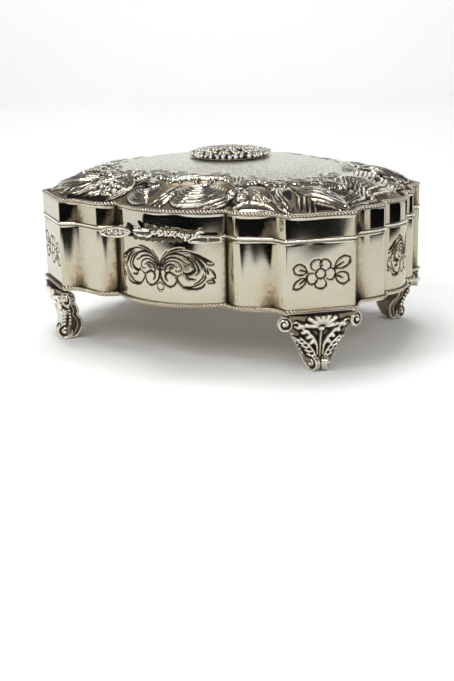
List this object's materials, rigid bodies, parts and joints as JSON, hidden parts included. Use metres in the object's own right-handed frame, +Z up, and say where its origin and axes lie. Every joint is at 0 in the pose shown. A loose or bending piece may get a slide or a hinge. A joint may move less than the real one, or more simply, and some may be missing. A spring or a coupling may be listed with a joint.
{
  "type": "hinged jewellery casket",
  "caption": "Scalloped silver trinket box with a domed repousse lid, back hinge, rope mouldings and scroll feet.",
  "frame": {"origin": "on the surface that the feet stand on, under the middle of the box", "axes": "+X to the right along the length, +Y towards the hinge at the back, +Z up"},
  "size_m": [0.1994, 0.1632, 0.1001],
  "materials": {
    "wall_silver": "polished silver with dark patina in the recesses and engraved lines",
    "dome_silver": "chased repousse silver, bright relief over dark ground, matt stippled crown",
    "cast_silver": "cast and chased silver, heavily oxidised in the hollows",
    "wire_silver": "polished twisted and half-round wire",
    "inside_silver": "satin silver with light tarnish",
    "hinge_silver": "polished silver tube and strip",
    "hinge_pin_metal": "drawn wire, dull at the ends"
  },
  "bodies": {
    "base": {"base_wall": "wall_silver", "base_floor": "inside_silver", "base_rope_moulding": "wire_silver", "inner_bezel": "inside_silver", "foot_front_left": "cast_silver", "foot_front_right": "cast_silver", "foot_back_left": "cast_silver", "foot_back_right": "cast_silver", "hinge_bearer_base": "hinge_silver", "hinge_knuckle_base_left": "hinge_silver", "hinge_knuckle_base_middle": "hinge_silver", "hinge_knuckle_base_right": "hinge_silver", "hinge_pin": "hinge_pin_metal"},
    "lid": {"lid_wall": "wall_silver", "lid_lip_bead": "wire_silver", "lid_rope_moulding": "wire_silver", "lid_dome": "dome_silver", "thumb_piece": "cast_silver", "medallion_plate": "cast_silver", "medallion_beads": "cast_silver", "hinge_bearer_lid": "hinge_silver", "hinge_knuckle_lid_left": "hinge_silver", "hinge_knuckle_lid_right": "hinge_silver"}
  },
  "joints": [
    {"name": "lid_hinge", "type": "hinge", "parent": "base", "child": "lid", "pos_m": [0, 0.0795, 0.0645], "axis": [-1, 0, 0], "range_deg": [0, 100]}
  ]
}
